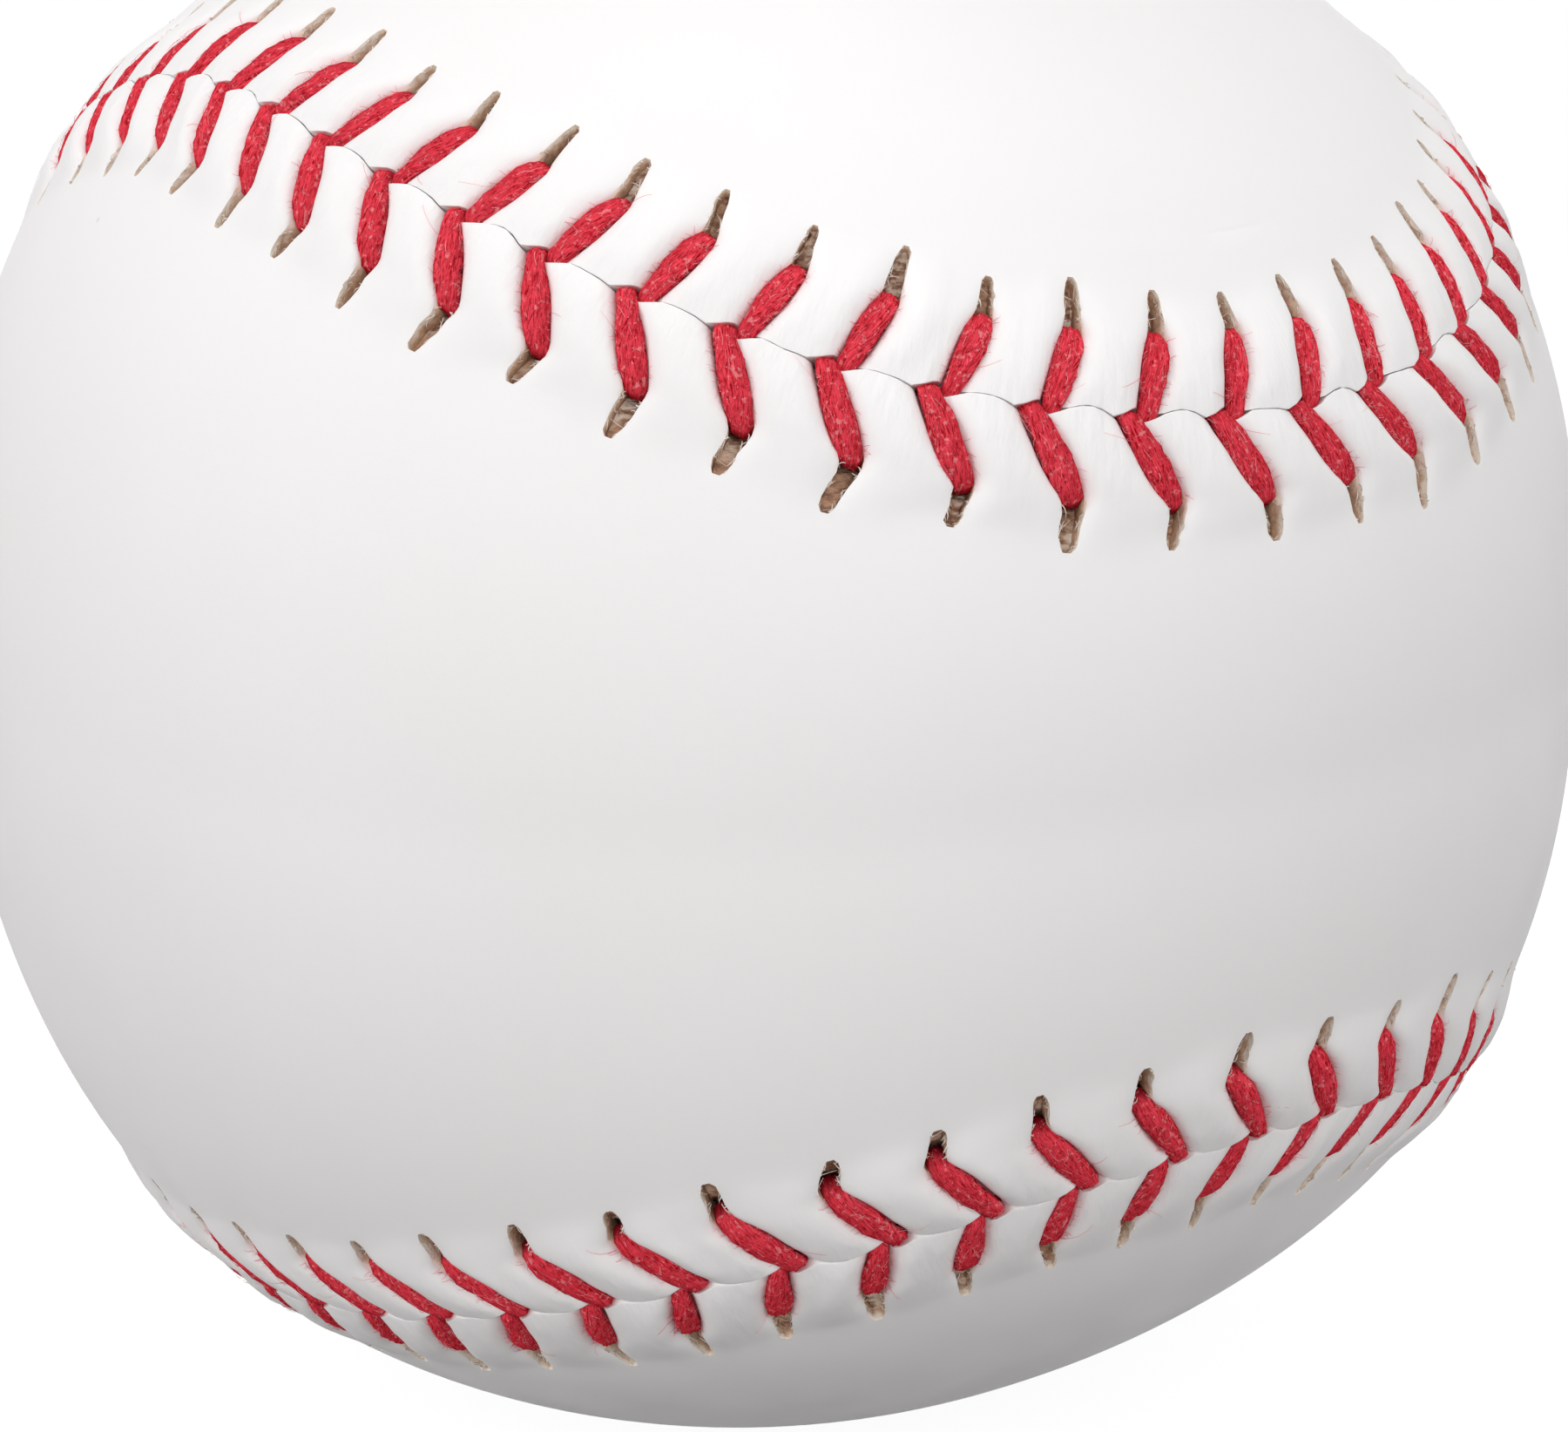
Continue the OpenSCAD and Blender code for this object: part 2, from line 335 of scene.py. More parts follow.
def zip_rows(first, second):
    """Triangles between two rows of point numbers that run the same way."""
    faces = []
    i = 0
    j = 0
    while i < len(first) - 1 or j < len(second) - 1:
        next_i = (i + 1) / max(len(first) - 1, 1) if i < len(first) - 1 else 2
        next_j = (j + 1) / max(len(second) - 1, 1) if j < len(second) - 1 else 2
        if next_i <= next_j:
            faces.append((first[i], first[i + 1], second[j]))
            i += 1
        else:
            faces.append((first[i], second[j + 1], second[j]))
            j += 1
    return faces


def face_outwards(points, faces):
    """The same faces, each turned so that it points away from the centre."""
    turned = []
    for face in faces:
        a, b, c = (points[face[i]] for i in range(3))
        normal = np.cross(b - a, c - a)
        turned.append(tuple(face) if normal @ (a + b + c) > 0 else tuple(reversed(face)))
    return turned


def closed_shell(faces, count):
    """Faces of a shell whose underside repeats the count points of its top, and its rim."""
    under = [tuple(i + count for i in reversed(face)) for face in faces]
    rim = {}
    for face in faces:
        for a, b in zip(face, face[1:] + face[:1]):
            if (b, a) in rim:
                del rim[(b, a)]
            else:
                rim[(a, b)] = True
    walls = [(b, a, a + count, b + count) for a, b in rim]
    return faces + under + walls, list(rim)


def new_piece(name, points, faces, slot, *replaced):
    """A mesh object at the origin that rides on the ball's one body."""
    mesh = bpy.data.meshes.new(name)
    mesh.from_pydata((np.asarray(points) * MM).tolist(), [], faces)
    mesh.update()
    piece = bpy.data.objects.new(name, mesh)
    bpy.context.scene.collection.objects.link(piece)
    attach(piece, BODY)
    if replaced:
        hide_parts(*replaced)
    mesh.calc_loop_triangles()
    print(name, "triangles", len(mesh.loop_triangles))
    return piece


def set_attributes(piece, **attributes):
    """A number or a vector for every point, under a name that the materials read."""
    for name, values in attributes.items():
        values = np.asarray(values, dtype=np.float32)
        kind, field = ("FLOAT", "value") if values.ndim == 1 else ("FLOAT_VECTOR", "vector")
        layer = piece.data.attributes.new(name, kind, "POINT")
        layer.data.foreach_set(field, values.ravel())


def select_only(piece):
    bpy.ops.object.select_all(action="DESELECT")
    piece.select_set(True)
    bpy.context.view_layer.objects.active = piece


def edit_whole(piece, step, **settings):
    """One of Blender's edit-mode steps on all of a mesh."""
    select_only(piece)
    bpy.ops.object.mode_set(mode="EDIT")
    bpy.ops.mesh.select_all(action="SELECT")
    step(**settings)
    bpy.ops.object.mode_set(mode="OBJECT")


# %% [markdown]
# The columns of the margin's net are counted from the middle of a leg. The two at 0.53
# are the upper edges of its groove, and further out the same two columns become the
# edges of the slit. The rows are counted from the seam.

# %% Rows and columns of the margin
COLUMNS = (
    -1.45, -1.1, -0.82, -0.64, -0.53, -0.47, -0.41, -0.15,
    0.15, 0.41, 0.47, 0.53, 0.64, 0.82, 1.1, 1.45, 1.863,
)
GROOVE_EDGE = 0.53
ROWS = (
    0, 0.045, 0.13, 0.3, 0.55, 0.9, 1.3, 1.75, 2.2, 2.55,
    2.78, 3.0, 3.3, 3.65, 4.05, 4.45, 4.75, 4.95, 5.2, 5.6,
)
FIELD_ROWS = (6.2, 7.0)
FIELD_COLUMNS = (-1.4, -0.47, 0.47, 1.4)
FIELD_STEP = 1.0

# The end of one lobe of each panel, where its first arc lies, as a share of the seam
LOBE_END_SHARE = {1: 3 / 8, -1: 1 / 8}

# The groove's depth over its columns, and how it runs out along the slit
GROOVE_D = 0.58
GROOVE_COLUMNS = (0.41, 0.47, 0.53, 0.64, 0.82)
GROOVE_SHARES = (1, 0.55, 0.16, 0.03, 0)
GROOVE_FADE = 0.7
GROOVE_FADE_SHARE = 0.75
GROOVE_END = (4.0, 4.95)

# The columns that chance makes ragged, and the blushing strip beside a leg
RAGGED_COLUMNS = (0.15, 0.41, 0.64, 0.82)
RAGGED_SHARES = (0, 1, 1, 0)
FLANK_REACH = 0.22
FLANK_END = (2.6, 3.6)


def margin_net(side, chance):
    """Directions, radii, places, offs, dye and painted shade of the grooves, and flanks, by rows,
    stitches and columns.
    """
    off = np.array(ROWS)[:, None, None]
    stitch = np.arange(STITCHES)[None, :, None]
    column = np.array(COLUMNS)[None, None, :]
    half_pitch = PITCH / 2

    def by_stitch(low, high):
        return chance.uniform(low, high, STITCHES)[None, :, None]

    width_share = 1 + WIDTH_CHANCE * by_stitch(-1, 1)
    longer = by_stitch(*LENGTH_CHANCE)
    lean = SLIT_LEAN[side] + by_stitch(-LEAN_CHANCE, LEAN_CHANCE)
    swell = 1 + PILLOW_CHANCE * by_stitch(-1, 1)

    size = leg_size(side, stitch, off)
    half = half_width(off) * (size + (width_share - size) * smooth_step(*SLIT_WIDTH_FROM, off))
    beyond = (np.abs(column) - GROOVE_EDGE) / (half_pitch - GROOVE_EDGE)
    across_leg = np.where(
        np.abs(column) <= GROOVE_EDGE,
        column / GROOVE_EDGE * half,
        np.sign(column) * (half + beyond * (half_pitch - half)),
    )

    # A slit is pulled open, so its edges are ragged
    tail = smooth_step(HOLE_OFF, SLIT_END, off) * (1 - smooth_step(SLIT_END, FIELD_ROWS[0], off))
    ragged = RAGGED * chance.uniform(-1, 1, (len(ROWS), STITCHES, 2))
    ragged = np.where(column < 0, ragged[..., :1], ragged[..., 1:])
    at_edge = np.interp(np.abs(column), RAGGED_COLUMNS, RAGGED_SHARES)
    at_edge = at_edge * smooth_step(*RAGGED_FROM, off) * (off < SLIT_END)
    across_leg = across_leg + ragged * at_edge
    ahead = leg_ahead(side, off) + lean * tail + across_leg
    place = FIRST_STITCH_SHARE + stitch + ahead / PITCH
    off_here = off + longer * tail

    # The seam wanders a little, and each edge gives way where a leg goes down
    wander = np.interp(ahead, WANDER_AHEAD[side], WANDER[side], period=PITCH)
    wander = wander + seam_bulge(stitch, ahead)
    other_leg, own_leg = (
        np.exp(-((ahead - ENTRY[s]) / LEG_ENTRY_HALF) ** 4) for s in (-side, side)
    )
    give_way = SEAM_GAP / 2 + GIVE_WAY * other_leg + GIVE_WAY * own_leg
    near_edge = np.exp(-off / EDGE_REACH)
    signed_off = side * (off_here + give_way * near_edge) + wander * near_edge

    wall = np.interp(np.abs(column), GROOVE_COLUMNS, GROOVE_SHARES)
    fade = smooth_step(HOLE_START, HOLE_START + GROOVE_FADE, off) * GROOVE_FADE_SHARE
    groove = wall * (1 - fade) * (1 - smooth_step(*GROOVE_END, off))

    round_off = np.clip(EDGE_ROUND - off, 0, None)
    edge_drop = EDGE_ROUND - np.sqrt(EDGE_ROUND ** 2 - round_off ** 2)
    cap = CAP_H * other_leg * np.exp(-(off / CAP_REACH) ** 2)

    # The leather isn't even: it is drawn into soft folds between the stitches
    fold_turn = by_stitch(0, 2 * math.pi)
    fold = np.sin(FOLD_WAVES[0] * across_leg - FOLD_WAVES[1] * off + fold_turn)
    fold = fold * np.sin(FOLD_WAVES[2] * off + fold_turn)
    fold = FOLD_H * fold * (1 - wall) * np.exp(-((off - FOLD_OFF) / FOLD_REACH) ** 2)
    fold = fold * np.clip((half_pitch - np.abs(across_leg)) / FOLD_CLEAR, 0, 1)

    pillow = pillow_level(off, across_leg, half) * (1 + (swell - 1) * (1 - near_edge))
    radius = leather_level(off_here) + pillow + fold + cap - GROOVE_D * groove - edge_drop
    flank = np.exp(-np.clip(np.abs(across_leg) - half, 0, None) / FLANK_REACH)
    flank = flank * (1 - smooth_step(*FLANK_END, off))

    # The grooves and the cut edge over the other leg are painted dark red: partly the
    # thread's dye, partly painted shade for the shadow they lie in
    dye_and_painted_shade = np.maximum(groove, CAP_DYE_AND_SHADE * other_leg * (off < ROWS[1]))
    off_here = np.broadcast_to(off_here, radius.shape)
    return beside_seam(place, signed_off), radius, place, off_here, dye_and_painted_shade, flank


def field_net(side, ring_place, first):
    """Points inside the last field row, whose numbers start at first, and their faces."""
    count = len(ring_place)
    ring = beside_seam(ring_place, np.full(count, side * FIELD_ROWS[-1]))
    start = int(np.argmin(np.abs(ring_place - LOBE_END_SHARE[side] * STITCHES)))
    points = []
    rows = []
    for step in range(count // 2):
        a = (start + step) % count
        b = (start - 1 - step) % count
        gap = math.acos(np.clip(ring[a] @ ring[b], -1, 1))
        cells = max(1, round(gap * COVER_R / FIELD_STEP))
        row = [first + a]
        for i in range(1, cells):
            share = i / cells
            weight_a = math.sin((1 - share) * gap) / math.sin(gap)
            weight_b = math.sin(share * gap) / math.sin(gap)
            row.append(first + count + len(points))
            points.append(unit(ring[a] * weight_a + ring[b] * weight_b))
        rows.append([*row, first + b])
    faces = []
    for row, next_row in zip(rows, rows[1:]):
        faces += zip_rows(row, next_row)
    return np.array(points), faces


# %% [markdown]
# With the nets in place, the panel becomes a closed piece of leather. Its underside
# repeats the net one leather's thickness further in, and walls join the two along the
# seam and round every slit, so each slit is a real opening.

# %% Build one panel
PANEL_SHARP_ANGLE = 48
margins = {
    side: margin_net(side, np.random.default_rng(seed)) for side, seed in ((1, 11), (-1, 12))
}


def make_panel(name, node, side):
    direction, radius, *values = margins[side]
    rows, stitches, columns = radius.shape
    around = stitches * columns
    points = (direction * radius[..., None]).reshape(-1, 3)
    places, offs, dye_and_shade_marks, flanks = (v.reshape(-1) for v in values)
    slit_rows = [i for i, v in enumerate(ROWS[:-1]) if HOLE_START <= v < SLIT_END]
    slit_columns = [i for i, v in enumerate(COLUMNS) if -GROOVE_EDGE <= v < GROOVE_EDGE]
    faces = [
        face for face in net_faces(rows, around)
        if face[0] // around not in slit_rows or face[0] % columns not in slit_columns
    ]

    # Fewer columns from here on
    ring_size = STITCHES * len(FIELD_COLUMNS)
    ring_ahead = leg_ahead(side, HOLE_OFF) + np.array(FIELD_COLUMNS)[None, :]
    ring_place = FIRST_STITCH_SHARE + np.arange(STITCHES)[:, None] + ring_ahead / PITCH
    ring_place = ring_place.reshape(-1)
    ring_places = np.tile(ring_place, len(FIELD_ROWS))
    ring_offs = np.repeat(FIELD_ROWS, ring_size)
    rings = beside_seam(ring_places, side * ring_offs) * leather_level(ring_offs)[:, None]
    start = len(points)
    fine = [start - around + i % around for i in range(around + 1)]
    coarse = [start + i % ring_size for i in range(ring_size + 1)]
    faces += zip_rows(fine, coarse) + net_faces(len(FIELD_ROWS), ring_size, start)

    field, field_faces = field_net(side, ring_place, start + ring_size)
    field_off = seam_distance(field)
    faces += field_faces
    points = np.vstack([points, rings, field * leather_level(field_off)[:, None]])
    places = np.concatenate([places, ring_places, np.zeros(len(field))])
    offs = np.concatenate([offs, ring_offs, field_off])
    beyond_margin = np.zeros(len(points) - start)
    dye_and_shade_marks, flanks = (np.concatenate([v, beyond_margin]) for v in (dye_and_shade_marks, flanks))

    top_count = len(points)
    faces = face_outwards(points, faces)
    under = unit(points) * (leather_level(offs) - LEATHER_T)[:, None]
    shell, rim = closed_shell(faces, top_count)
    panel = new_piece(name, np.vstack([points, under]), shell, "white_leather", node)

    # Material 1 is cut leather, but along the seam the white side is drawn over the edge
    cut = [0] * len(faces) + [1] * len(faces) + [int(max(edge) >= around) for edge in rim]
    panel.data.polygons.foreach_set("material_index", cut)

    # Places along the seam as a wide ring, so that a pattern has no break in it
    ring_turn = places / STITCHES * 2 * math.pi
    ring_radius = PITCH * STITCHES / (2 * math.pi)
    ring_x, ring_y = ring_radius * np.cos(ring_turn), ring_radius * np.sin(ring_turn)
    set_attributes(
        panel,
        seam_place=np.tile(np.stack([ring_x, ring_y, offs], axis=1), (2, 1)),
        seam_off=np.tile(offs, 2),
        # Dark red for the grooves and capped edges: partly dye, partly painted shade
        groove=np.tile(dye_and_shade_marks, 2),
        flank=np.tile(flanks, 2),
        # 0 on the white side and 1 underneath: the cut leather's tan core and painted shade follow
        #                                       this
        depth=np.repeat([0, 1], top_count),
    )
    select_only(panel)
    bpy.ops.object.shade_smooth_by_angle(angle=math.radians(PANEL_SHARP_ANGLE))
    return panel


panels = [make_panel("leather_panel_a", "cover_panel_a", 1)]
panels.append(make_panel("leather_panel_b", "cover_panel_b", -1))

# %% [markdown]
# ## What shows through the slits
# Under the leather lies the dried cement on the last winding. It fills the space under
# the raised margins, apart from a channel along the seam where the thread runs. An
# icosphere has no poles, so its points can be moved in and out freely.

# %% Adhesive coat
COAT_CHANNEL_EDGE = (2.9, 3.6)
COAT_CHANNEL_D = 0.62
COAT_CLEAR = 0.04
COAT_CUTS = 7
INSIDE_CUTS = 5


def shell_radius(node):
    """Radius in mm of one of the frame's round layers."""
    low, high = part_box(node)
    return (high[2] - low[2]) / 2 / MM


COAT_R = shell_radius("adhesive_coat")
INSIDE_R = shell_radius("winding_finishing_yarn") + COAT_CLEAR
bpy.ops.object.select_all(action="DESELECT")
bpy.ops.mesh.primitive_ico_sphere_add(subdivisions=INSIDE_CUTS, radius=INSIDE_R * MM)
coat_inside = bpy.context.object
edit_whole(coat_inside, bpy.ops.mesh.flip_normals)
bpy.ops.object.select_all(action="DESELECT")
bpy.ops.mesh.primitive_ico_sphere_add(subdivisions=COAT_CUTS, radius=COAT_R * MM)
coat = bpy.context.object
coat.name = "cement_coat"
coat_points = np.empty(len(coat.data.vertices) * 3)
coat.data.vertices.foreach_get("co", coat_points)
coat_direction = unit(coat_points.reshape(-1, 3))
coat_off = seam_distance(coat_direction)
coat_level = leather_level(coat_off) - LEATHER_T - COAT_CLEAR
coat_level = coat_level - COAT_CHANNEL_D * (1 - smooth_step(*COAT_CHANNEL_EDGE, coat_off))
coat_level = np.maximum(coat_level, COAT_R)
coat.data.vertices.foreach_set("co", (coat_direction * coat_level[:, None] * MM).ravel())
coat_inside.select_set(True)
bpy.context.view_layer.objects.active = coat
bpy.ops.object.join()
bpy.ops.object.shade_smooth()
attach(coat, BODY)
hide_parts("adhesive_coat")
print("coat radius, mm", round(float(coat_level.min()), 2), round(float(coat_level.max()), 2))

# %% [markdown]
# When the cover is glued on, the cement is pressed up into every slit. So each slit has
# a small uneven floor of its own, which is a thin slab on the coat.

# %% Floors of the slits
FLOOR_OFFS = (3.3, 3.65, 4.05, 4.45, 4.75, 4.95)
FLOOR_HEIGHTS = (-1.15, -0.92, -0.8, -0.74, -0.68, -0.55)
FLOOR_ROUGH = 0.06
FLOOR_SHARP_ANGLE = 70


def make_slit_floors(name, side, seed):
    chance = np.random.default_rng(seed)
    direction, _, _, off, _, _ = margins[side]
    floor_rows = [ROWS.index(v) for v in FLOOR_OFFS]
    floor_columns = [i for i, v in enumerate(COLUMNS) if abs(v) <= GROOVE_EDGE]
    spots = np.ix_(floor_rows, range(STITCHES), floor_columns)
    out = direction[spots].transpose(1, 0, 2, 3)
    level = leather_level(off[spots].transpose(1, 0, 2))
    rough = FLOOR_ROUGH * chance.uniform(-1, 1, level.shape)
    height = np.array(FLOOR_HEIGHTS)[None, :, None] + rough
    top = (out * (level + height)[..., None]).reshape(-1, 3)
    under = (out * (level - LEATHER_T)[..., None]).reshape(-1, 3)
    tall, wide = len(floor_rows), len(floor_columns)
    faces = repeat_faces(net_faces(tall, wide, closed=False), STITCHES, tall * wide)
    shell, _ = closed_shell(face_outwards(top, faces), len(top))
    floors = new_piece(name, np.vstack([top, under]), shell, "adhesive")
    select_only(floors)
    bpy.ops.object.shade_smooth_by_angle(angle=math.radians(FLOOR_SHARP_ANGLE))
    return floors


slit_floors = [make_slit_floors("slit_floors_a", 1, 41), make_slit_floors("slit_floors_b", -1, 42)]

# %% [markdown]
# ## The stitching thread
# One leg of a stitch comes up through its slit, lies in its groove and goes down into
# the seam. Then it runs under the other panel to the next slit. A round tube would look
# like wire, so a leg is laid up as the real thread is: a core with strands twisted
# round it, each a little different. The hidden run is only the core.

# %% Path of a thread
# Along one leg, as shares of the way: distance from the seam, height above the leather,
# half width and half thickness
LEG_SHARES = (0, 0.07, 0.13, 0.19, 0.27, 0.37, 0.48, 0.6, 0.72, 0.83, 0.9, 0.95, 1)
LEG_OFFS = (2.6, 2.98, 3.12, 3.02, 2.75, 2.35, 1.85, 1.35, 0.88, 0.46, 0.12, -0.08, -0.12)
LEG_HEIGHTS = (-1.3, -0.98, -0.68, -0.43, -0.24, -0.1, -0.04, -0.01, 0, 0, -0.01, -0.17, -1.1)
LEG_HALF_WIDTHS = (0.33, 0.38, 0.42, 0.47, 0.54, 0.58, 0.59, 0.58, 0.54, 0.49, 0.46, 0.44, 0.4)
LEG_HALF_HEIGHTS = (0.22, 0.27, 0.31, 0.34, 0.35, 0.35, 0.35, 0.35, 0.35, 0.35, 0.33, 0.25, 0.2)
FAT_CHANCE = 0.07
SWAY_CHANCE = 0.06
LIFT_CHANCE = (-0.04, 0.05)
HIDDEN_SHARES = (0.12, 0.4, 0.7, 0.92)
HIDDEN_HEIGHT = -1.56
HIDDEN_HALF_WIDTH = 0.36
HIDDEN_HALF_HEIGHT = 0.25
SECTION_POWER = 0.8


def thread_rings(start, chance):
    """Seam place, side offset, height and half sizes of every ring of one thread."""
    rings = []
    for stitch in range(STITCHES):
        side = -1 if (stitch + start) % 2 == 0 else 1
        here = FIRST_STITCH_SHARE - stitch
        fat = 1 + FAT_CHANCE * chance.uniform(-1, 1)
        sway = chance.uniform(-SWAY_CHANCE, SWAY_CHANCE)
        lift = chance.uniform(*LIFT_CHANCE)
        for share, off, height, wide, tall in zip(
            LEG_SHARES, LEG_OFFS, LEG_HEIGHTS, LEG_HALF_WIDTHS, LEG_HALF_HEIGHTS
        ):
            middle = math.sin(math.pi * share)
            ahead = float(leg_ahead(side, max(off, 0))) + sway * middle
            level = float(leather_level(off)) + height + lift * middle
            size = 1 + (fat - 1) * middle
            size = size * float(leg_size(side, -stitch, max(off, 0)))
            rings.append((here + ahead / PITCH, side * off, level, wide * size, tall, 1))
        if stitch == STITCHES - 1:
            break
        leave = np.array([here + ENTRY[side] / PITCH, side * LEG_OFFS[-1]])
        arrive = np.array([here - 1 + HOLE_AHEAD / PITCH, -side * LEG_OFFS[0]])
        for share in HIDDEN_SHARES:
            place, off = leave * (1 - share) + arrive * share
            level = float(leather_level(off)) + HIDDEN_HEIGHT
            rings.append((place, off, level, HIDDEN_HALF_WIDTH, HIDDEN_HALF_HEIGHT, 0))
    return np.array(rings)


def ring_frames(rings):
    """Centre, wide direction and tall direction of every ring."""
    centre = beside_seam(rings[:, 0], rings[:, 1]) * rings[:, 2][:, None]
    ahead = np.vstack([centre[1:], centre[-1:]])
    behind = np.vstack([centre[:1], centre[:-1]])
    path = unit(ahead - behind)
    _, along, _ = seam_frame(rings[:, 0])
    wide = unit(along - path * np.sum(along * path, axis=1, keepdims=True))
    return centre, wide, np.cross(path, wide)


def squared(value):
    """Turns the round section of a leg into one with a flatter top and sides."""
    return np.sign(value) * np.abs(value) ** SECTION_POWER


def moved(centre, wide, tall, across, above):
    """Points that lie so far from their centres in the wide and the tall direction."""
    return centre + wide * across[..., None] + tall * above[..., None]


def tube_faces(ring_count, sides):
    """Faces of a closed tube of rings, with a cap at each end."""
    last = (ring_count - 1) * sides
    caps = [tuple(reversed(range(sides))), tuple(range(last, last + sides))]
    return net_faces(ring_count, sides) + caps


# %% [markdown]
# The strands are worked out all at once: every leg has the same number of them, and
# they wind round the core by the same twist. Small waves move each strand in, out and
# sideways, and thin or thicken it, so no two legs are alike.

# %% Build one thread
CORE_SIDES = 8
CORE_SHARE = 0.86
CORE_TONE = 0.25
CORE_STEP = 0.3
STRANDS = 15
STRAND_SIDES = 4
STRAND_R = 0.13
TWIST_LENGTH = 13

# Size of a strand's waves, and how fast they follow each other along it. A wave may
# start anywhere in a turn, and a strand's fibres anywhere in their pattern.
WAVE_ROUND = (0.2, 2.1)
WAVE_THICK = (0.2, 3)
WAVE_PROUD = (0.025, 2.6)
ANY_TURN = 6.28
ANY_STRAND = 90


def make_thread(name, node, start, seed):
    chance = np.random.default_rng(seed)
    rings = thread_rings(start, chance)
    centre, wide, tall = ring_frames(rings)
    shrink = 1 - (1 - CORE_SHARE) * rings[:, 5:6]
    angle = np.arange(CORE_SIDES) / CORE_SIDES * 2 * math.pi
    core_across = rings[:, 3:4] * shrink * squared(np.cos(angle))
    core_above = rings[:, 4:5] * shrink * squared(np.sin(angle))
    core = moved(centre[:, None], wide[:, None], tall[:, None], core_across, core_above)
    core_count = len(rings) * CORE_SIDES
    core_run = np.repeat(np.arange(len(rings)) * CORE_STEP, CORE_SIDES)
    core_fibre = np.stack([core_run, np.tile(angle, len(rings)), 0 * core_run], axis=1)

    # Legs by rings
    leg_rings = len(LEG_SHARES)
    numbers = np.flatnonzero(rings[:, 5] > 0).reshape(STITCHES, leg_rings)
    leg_centre, leg_wide, leg_tall = centre[numbers], wide[numbers], tall[numbers]
    gaps = np.linalg.norm(np.diff(leg_centre, axis=1), axis=2)
    run = np.concatenate([np.zeros((STITCHES, 1)), np.cumsum(gaps, axis=1)], axis=1)

    def wave(size, speed):
        """A wave along every strand, by legs, rings and strands."""
        first = chance.uniform(0, ANY_TURN, (STITCHES, 1, STRANDS))
        return size * np.sin(run[..., None] * speed + first)

    begin = np.arange(STRANDS) / STRANDS * 2 * math.pi
    begin = begin + chance.uniform(0, ANY_TURN, (STITCHES, 1, 1))
    around = begin + run[..., None] / TWIST_LENGTH * 2 * math.pi + wave(*WAVE_ROUND)
    thick = STRAND_R * (1 + wave(*WAVE_THICK))
    proud = wave(*WAVE_PROUD)
    reach_w = rings[numbers, 3][..., None] - STRAND_R + proud
    reach_t = rings[numbers, 4][..., None] - STRAND_R + proud
    middle = moved(
        leg_centre[:, :, None], leg_wide[:, :, None], leg_tall[:, :, None],
        reach_w * squared(np.cos(around)), reach_t * squared(np.sin(around)),
    )
    side_angle = np.arange(STRAND_SIDES) / STRAND_SIDES * 2 * math.pi
    turned = around[..., None] + side_angle
    strand = moved(
        middle[:, :, :, None], leg_wide[:, :, None, None], leg_tall[:, :, None, None],
        thick[..., None] * np.cos(turned), thick[..., None] * np.sin(turned),
    )
    strand = strand.transpose(0, 2, 1, 3, 4)
    full = strand.shape[:-1]
    strand_id = chance.uniform(0, ANY_STRAND, (STITCHES, STRANDS, 1, 1))
    strand_fibre = np.stack([
        np.broadcast_to(run[:, None, :, None], full).ravel(),
        np.broadcast_to(side_angle * STRAND_R, full).ravel(),
        np.broadcast_to(strand_id, full).ravel(),
    ], axis=1)
    strand_tone = chance.uniform(0, 1, (STITCHES, STRANDS, 1, 1))
    strand_tone = np.broadcast_to(strand_tone, full).ravel()

    points = np.vstack([core.reshape(-1, 3), strand.reshape(-1, 3)])
    one = tube_faces(leg_rings, STRAND_SIDES)
    faces = tube_faces(len(rings), CORE_SIDES) + repeat_faces(
        one, STITCHES * STRANDS, leg_rings * STRAND_SIDES, core_count
    )
    thread = new_piece(name, points, faces, "red_thread", node)
    level = leather_level(seam_distance(unit(points)))
    set_attributes(
        thread,
        fibre=np.vstack([core_fibre, strand_fibre]),
        tone=np.concatenate([np.full(core_count, CORE_TONE), strand_tone]),
        # How far below the leather a point lies, for the thread's painted shade
        sunk=level - np.linalg.norm(points, axis=1),
    )
    thread.data.shade_smooth()
    edit_whole(thread, bpy.ops.mesh.normals_make_consistent, inside=False)
    return thread


threads = [make_thread("sewn_thread_a", "stitching_thread_a", 0, 21)]
threads.append(make_thread("sewn_thread_b", "stitching_thread_b", 1, 22))

# %% [markdown]
# ## Loose fibres
# Pulling the thread through the leather roughens it. Short fibres stand off the sides of
# every leg and lie on the leather, a few curl up on top, and now and then a longer one
# strays. Blender's hair system would need a second kind of object, so each fibre is a
# thin three-sided tube, and all the fibres beside one panel are one mesh.

# %% Build the loose fibres
# Fuzz, curls and strays: how many on each leg, whether they leave it sideways, the
# shortest and the longest, and how far they slant
FIBRE_KINDS = (
    (34, True, (0.12, 0.36), 1.2),
    (8, False, (0.25, 0.6), 0.7),
    (1, True, (0.5, 1.2), 1.1),
)
FUZZ_START = (0.3, 2.95)
CURL_START = (0.3, 2.6)
CURL_ACROSS = 0.36
FIBRE_OFFS = (0.12, 5.4)
FIBRE_SWAY = 0.5
FIBRE_ARCH = (0.01, 0.08)
FIBRE_ROOT = 0.08
FIBRE_CLEAR = 0.025
LEG_TOP = (0.03, 0.36)
LEG_SIDE = 0.02
FIBRE_R = 0.009
FIBRE_SIDES = 3
FIBRE_BENDS = 5
FIBRE_TAPER = (1.15, 0.6)


